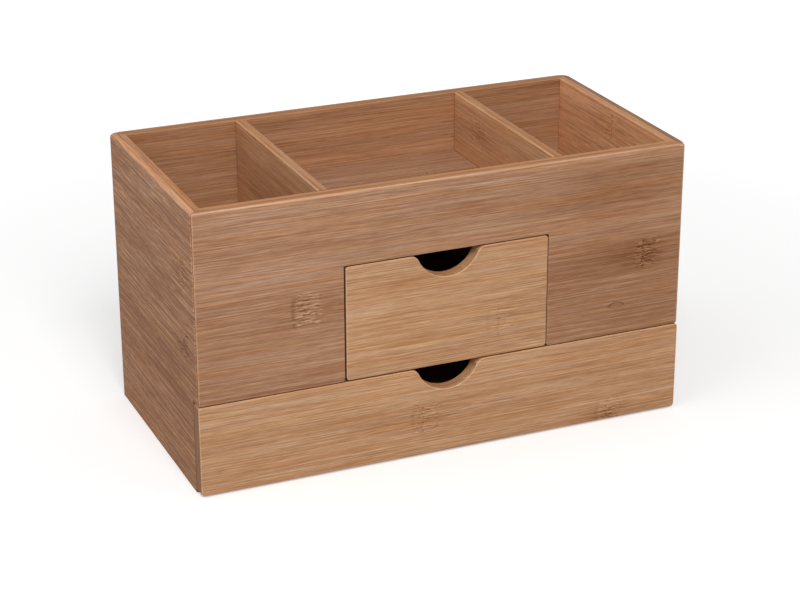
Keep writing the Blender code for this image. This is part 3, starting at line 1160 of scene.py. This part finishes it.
# %% The side walls
SIDE_SHADES = ((0, 35, 170, 90, -0.20), (-38, 124, 55, 28, 0.02))
SIDE_WALLS = (
    ("left_side_panel", -1, (BACK_CORNER, LEFT_FRONT_CORNER), {
        "seed": 21, "first_strip": 3.0, "streaks": 1.85, "inner_tint": (1.20, 1.09, 0.97, 1),
        # The pale outer layer of the rim: partly a paler layer, partly a painted highlight.
        "narrow_tint": (1.38, 1.30, 1.17, 1), "inner_narrow_tint": (1.19, 1.09, 0.97, 1),
        "knuckles": ((-47, 107, 0, 1.05, 0.1), (-48, 71, 0, 1.05, 0.1), (22, 124, 7, 0.8, 0.5))}),
    ("right_side_panel", 1, (RIGHT_FRONT_CORNER, BACK_CORNER), {
        # The pale inner face: partly a paler layer, partly painted light inside the compartment.
        "seed": 22, "first_strip": 6.5, "streaks": 0.95, "inner_tint": (1.82, 1.68, 1.50, 1),
        "narrow_tint": (0.72, 0.69, 0.66, 1), "inner_narrow_tint": (1.12, 1.16, 1.10, 1),
        "knuckles": ((18, 54, 0, 0.9, 0.5), (-24, 111, 0, 0.8, 0.5), (1, 131, 7, 0.7, 0.0))}),
)


def side_wall(node, side, corners, own):
    """A side wall: side is -1 at the left and 1 at the right, own says what sets its finish apart."""
    finish = bamboo(node + "_bamboo", "Y", "Z", side * model_high.x, CASING_TONES,
                    shades=SIDE_SHADES, edge_wear_and_highlight=0.0, redness=0.74, **own)
    place = (side * model_high.x, 0, 0)
    wall = mitred_wall(node + "_board", deep, 0.0, side, place, finish, corners)
    cut_away(wall, seat())
    cut_away(wall, foot_corner(side))
    fit(wall, node)


for row in SIDE_WALLS:
    side_wall(*row)

# %% The back wall
RIM_TINT = (0.89, 0.755, 0.595, 1)
BACK_INNER_TINT = (0.98, 0.885, 0.78, 1)
BACK_KNUCKLES = ((-67, 88, 0, 0.9, 0.5), (52, 31, 0, 0.8, 0.5))

back_finish = bamboo("back_panel_bamboo", "X", "Z", model_high.y, CASING_TONES, 23, BACK_KNUCKLES,
                     first_strip=2.0, inner_tint=BACK_INNER_TINT, narrow_tint=RIM_TINT,
                     inner_narrow_tint=RIM_TINT)
back_wall = mitred_wall("back_panel_board", wide, 0.0, 2, (0, model_high.y, 0), back_finish,
                        (BACK_CORNER, BACK_CORNER))
fit(back_wall, "back_panel")

# %% [markdown]
# ## Front wall
#
# The front wall is the one that everybody looks at. The small drawer's opening is routed out of its
# lower edge, and the router also eased the opening's edges. The cutter here has the shape of that
# hole, and it flares where it leaves the wood, so one cut makes the hole and its eased edges. At the
# foot of each leg the corner is rounded too. The small drawer doesn't sit quite in the middle of its
# opening, so the gap at its left is wider than the one at its right.
#
# Two knuckles show on this wall. The left one is pale with a clear scar, the right one is dark with
# clear dots. The wall is darker at the upper right, where the strips were a darker choice, and along
# the seam above the lower drawer it gets painted shade.

# %% The front wall's finish
INNER_RIM_TINT = (0.98, 0.84, 0.67, 1)
FRONT_KNUCKLES = ((-70.5, 85.5, 0, 1.15, 1.0), (105.5, 87, 0, 1.3, 0.0))
FRONT_KNOTS = ((89.5, 61.5, 4.3, 1.5),)
FRONT_SHADES = (
    (82, 118, 78, 12, -0.20),
    (82, 84, 46, 12, -0.14),
    (95, 80, 110, 70, -0.12),
    (-85, 92, 70, 60, 0.06),
    (92, 130, 75, 9, -0.17),
    (80, 109, 50, 8, -0.07),
    (80, 58, 70, 13, 0.07),
    (-60, 128, 80, 14, 0.09),
    (-85, 57, 60, 14, 0.07),
    (-70, 86, 10, 10, 0.18),
    (105.5, 87, 16, 13, -0.16),
    # The last two rows are painted shade along the seam above the lower drawer.
    (-88, 46.5, 75, 2.2, -0.24),
    (88, 46.5, 75, 2.0, -0.15),
)
front_face = model_low.y

front_finish = bamboo("front_panel_bamboo", "X", "Z", front_face, CASING_TONES, 5, FRONT_KNUCKLES,
                      FRONT_SHADES, FRONT_KNOTS, edge_wear_and_highlight=0.68, first_strip=0.5, narrow_tint=RIM_TINT,
                      inner_narrow_tint=INNER_RIM_TINT)
print("front wall: knuckles", len(FRONT_KNUCKLES), "and shaded areas", len(FRONT_SHADES))

# %% The front wall and its opening
LEFT_GAP = 0.0009
RIGHT_GAP = 0.0003
OPENING_EASE = 0.0003
EASE_STEPS = 4
LEG_CORNER = 0.0012
LEG_STEPS = 4
FRONT_FOOT_RADIUS = 0.0002


def opening_outline():
    """The opening in the front view, anticlockwise, with its two legs' rounded corners."""
    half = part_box("upper_drawer_front")[1].x
    left, right = -half - LEFT_GAP, half + RIGHT_GAP
    left_leg, right_leg = left - LEG_CORNER, right + LEG_CORNER
    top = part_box("centre_compartment_floor")[0].z
    below, corner = panel_foot - CUT_OVERRUN, panel_foot + LEG_CORNER
    outline = [(left_leg, below), (right_leg, below)]
    outline += arc((right_leg, corner), LEG_CORNER, 3, 2, LEG_STEPS)
    outline += [(right, top), (left, top)]
    return outline + arc((left_leg, corner), LEG_CORNER, 0, -1, LEG_STEPS)


def opening():
    """A cutter for the opening, which flares at the front face."""
    flare = arc((OPENING_EASE, OPENING_EASE), OPENING_EASE, 3, 2, EASE_STEPS)
    layers = [(-OPENING_EASE, front_face - CUT_OVERRUN)]
    layers += [(-wider, front_face + depth) for wider, depth in flare]
    layers.append((0.0, front_face + WALL_THICKNESS + CUT_OVERRUN))
    return stacked("opening", opening_outline(), layers)


front_wall = mitred_wall("front_panel_board", wide, panel_foot, 0, (0, front_face, 0), front_finish,
                         (LEFT_FRONT_CORNER, RIGHT_FRONT_CORNER), foot=FRONT_FOOT_RADIUS)
for cutter in (opening(), foot_corner(-1), foot_corner(1)):
    cut_away(front_wall, cutter)
fit(front_wall, "front_panel")

# %% [markdown]
# ## Drawer fronts
#
# Both drawer fronts are flat boards with a round thumb notch in the middle of the upper edge,
# because there is no handle. The notch is a shallow bowl with a soft shoulder on each side: three
# arcs that run into each other without a kink. All edges round the face are sanded, and the four
# corners are slightly round in the front view.

# %% The outline of a drawer front
NOTCH_WIDTH = 0.039
NOTCH_DEPTH = 0.0125
NOTCH_SHOULDER = 0.005
NOTCH_STEPS = 36
SHOULDER_STEPS = 14
FRONT_CORNER = 0.0017
FRONT_CORNER_STEPS = 5


def notched_front(low, high):
    """A drawer front seen from the front, anticlockwise from the lower left corner."""
    half_notch = NOTCH_WIDTH / 2
    span = (half_notch ** 2 / NOTCH_DEPTH + NOTCH_DEPTH) / 2
    bowl = span - NOTCH_SHOULDER
    turn = math.atan2(half_notch, span - NOTCH_DEPTH) / (math.pi / 2)
    right, upper = high.x - FRONT_CORNER, high.z - FRONT_CORNER
    lower, shoulder = low.z + FRONT_CORNER, high.z - NOTCH_SHOULDER
    points = arc((-right, lower), FRONT_CORNER, -2, -1, FRONT_CORNER_STEPS)
    points += arc((right, lower), FRONT_CORNER, -1, 0, FRONT_CORNER_STEPS)
    points += arc((right, upper), FRONT_CORNER, 0, 1, FRONT_CORNER_STEPS)
    points += arc((half_notch, shoulder), NOTCH_SHOULDER, 1, 1 + turn, SHOULDER_STEPS)
    points += arc((0, high.z + bowl - NOTCH_DEPTH), bowl, -1 + turn, -1 - turn, NOTCH_STEPS)[1:-1]
    points += arc((-half_notch, shoulder), NOTCH_SHOULDER, 1 - turn, 1, SHOULDER_STEPS)
    return points + arc((-right, upper), FRONT_CORNER, 1, 2, FRONT_CORNER_STEPS)


print("thumb notch in mm:", 1000 * NOTCH_WIDTH, "wide and", 1000 * NOTCH_DEPTH, "deep")

# %% The drawer fronts
FACE_EDGE = 0.0007
INNER_EDGE = 0.00015
DRAWER_FRONTS = {
    "upper_drawer_front": {
        "seed": 31, "first_strip": 36.0, "knuckles": ((28, 64.5, 0, 0.5, 0.5),),
        "shades": ((-45, 75, 25, 40, 0.09), (42, 75, 28, 40, -0.03))},
    "lower_drawer_front": {
        "seed": 32, "first_strip": 11.0,
        "knuckles": ((88, 2.5, 0, 1.0, 0.5), (-11, 20, 0, 0.8, 0.5)),
        "shades": ((95, 42, 75, 22, -0.10), (62, 12, 45, 9, 0.05))},
}


def drawer_front(node, own):
    """A drawer front with its thumb notch and sanded edges. Own says what sets its finish apart."""
    low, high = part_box(node)
    # The upper edge gets painted shade, for the seam above the drawer.
    finish = bamboo(node + "_bamboo", "X", "Z", front_face, DRAWER_TONES, streaks=0.92,
                    strip_contrast=0.12, edge_wear_and_highlight=0.5, seam_shade_top=high.z * MM_PER_M, **own)
    face_edge = arc((FACE_EDGE, FACE_EDGE), FACE_EDGE, 3, 2, ROUND_STEPS)
    inner_edge = arc((INNER_EDGE, INNER_EDGE), INNER_EDGE, 3, 2, ROUND_STEPS)
    layers = [(amount, low.y + depth) for depth, amount in face_edge[::-1]]
    layers += [(amount, high.y - depth) for depth, amount in inner_edge]
    front = stacked(node + "_board", notched_front(low, high), layers, finish)
    fit(front, node)


for row in DRAWER_FRONTS.items():
    drawer_front(*row)

# %% [markdown]
# ## Drawer boxes
#
# Behind each front are two sides, a back and a thin bottom sheet. The bottom slips into a groove
# near the lower edge of the sides and the back, so it can't fall out. The groove is cut with a
# block that is a little larger than the sheet.

# %% Sides, backs and bottoms
GROOVE_SLACK = 0.0003
DRAWER_BOARDS = (
    ("left_side", "Y", "Z", ((-12, 81, 0, 0.8, 0.5), (30, 26, 0, 0.8, 0.5))),
    ("right_side", "Y", "Z", ((21, 80, 0, 0.8, 0.5), (-33, 35, 0, 0.8, 0.5))),
    ("back", "X", "Z", ((17, 90, 0, 0.8, 0.5), (-58, 21, 0, 0.8, 0.5))),
)
BOTTOM_KNUCKLES = ((-27, 14, 0, 0.7, 0.5),)


def drawer_box(drawer, seed):
    """A drawer's bottom, sides and back. The bottom has the first seed, the others the next ones."""
    sheet = drawer + "_bottom"
    low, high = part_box(sheet)
    slack = Vector((GROOVE_SLACK,) * 3)
    finish = bamboo(sheet + "_bamboo", "X", "Y", high.z, SHEET_TONES, seed, BOTTOM_KNUCKLES,
                    first_strip=5.0, streaks=0.8)
    fit(milled_board(sheet, "X", finish), sheet)
    for own_seed, (part, along, across, knuckles) in enumerate(DRAWER_BOARDS, seed + 1):
        node = f"{drawer}_{part}"
        board_low, board_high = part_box(node)
        outer_face = board_high.y if along == "X" else max(board_low.x, board_high.x, key=abs)
        finish = bamboo(node + "_bamboo", along, across, outer_face, DRAWER_TONES, own_seed,
                        knuckles, first_strip=2.0 * own_seed)
        board = milled_board(node, along, finish)
        cut_away(board, block("groove", low - slack, high + slack))
        fit(board, node)


drawer_box("upper_drawer", 40)
drawer_box("lower_drawer", 44)
